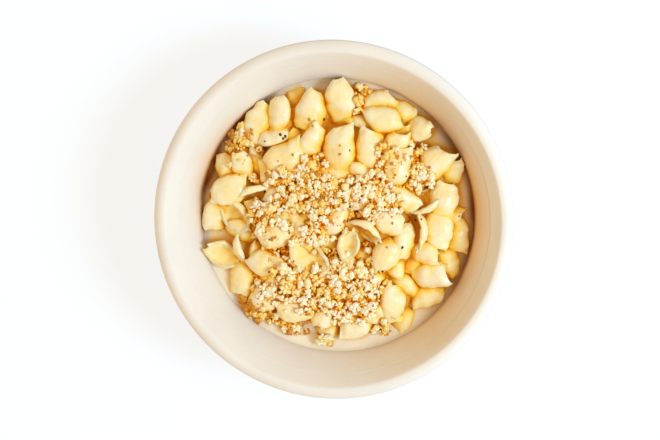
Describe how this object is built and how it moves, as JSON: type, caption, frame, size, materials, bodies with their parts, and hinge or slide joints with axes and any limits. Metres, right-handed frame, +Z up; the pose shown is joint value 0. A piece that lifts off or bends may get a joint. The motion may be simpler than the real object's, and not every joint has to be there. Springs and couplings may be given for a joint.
{
  "type": "mac and cheese",
  "caption": "Round moulded-fibre bowl of pasta shells in a pale cheese sauce, heaped towards the middle and strewn with toasted breadcrumbs.",
  "frame": {"origin": "on the bowl's axis, in the plane its foot ring rests on", "axes": "+Z up along the bowl's axis; +X and +Y level, with +Y pointing away from the side the dish was seen from and +X to its right"},
  "size_m": [0.187, 0.187, 0.055],
  "materials": {
    "bowl": "matt moulded plant fibre, off-white",
    "cheese_sauce": null,
    "pasta_heap": null
  },
  "bodies": {
    "root": {"bowl": "bowl", "cheese_sauce": "cheese_sauce", "pasta_heap": "pasta_heap"}
  },
  "joints": []
}
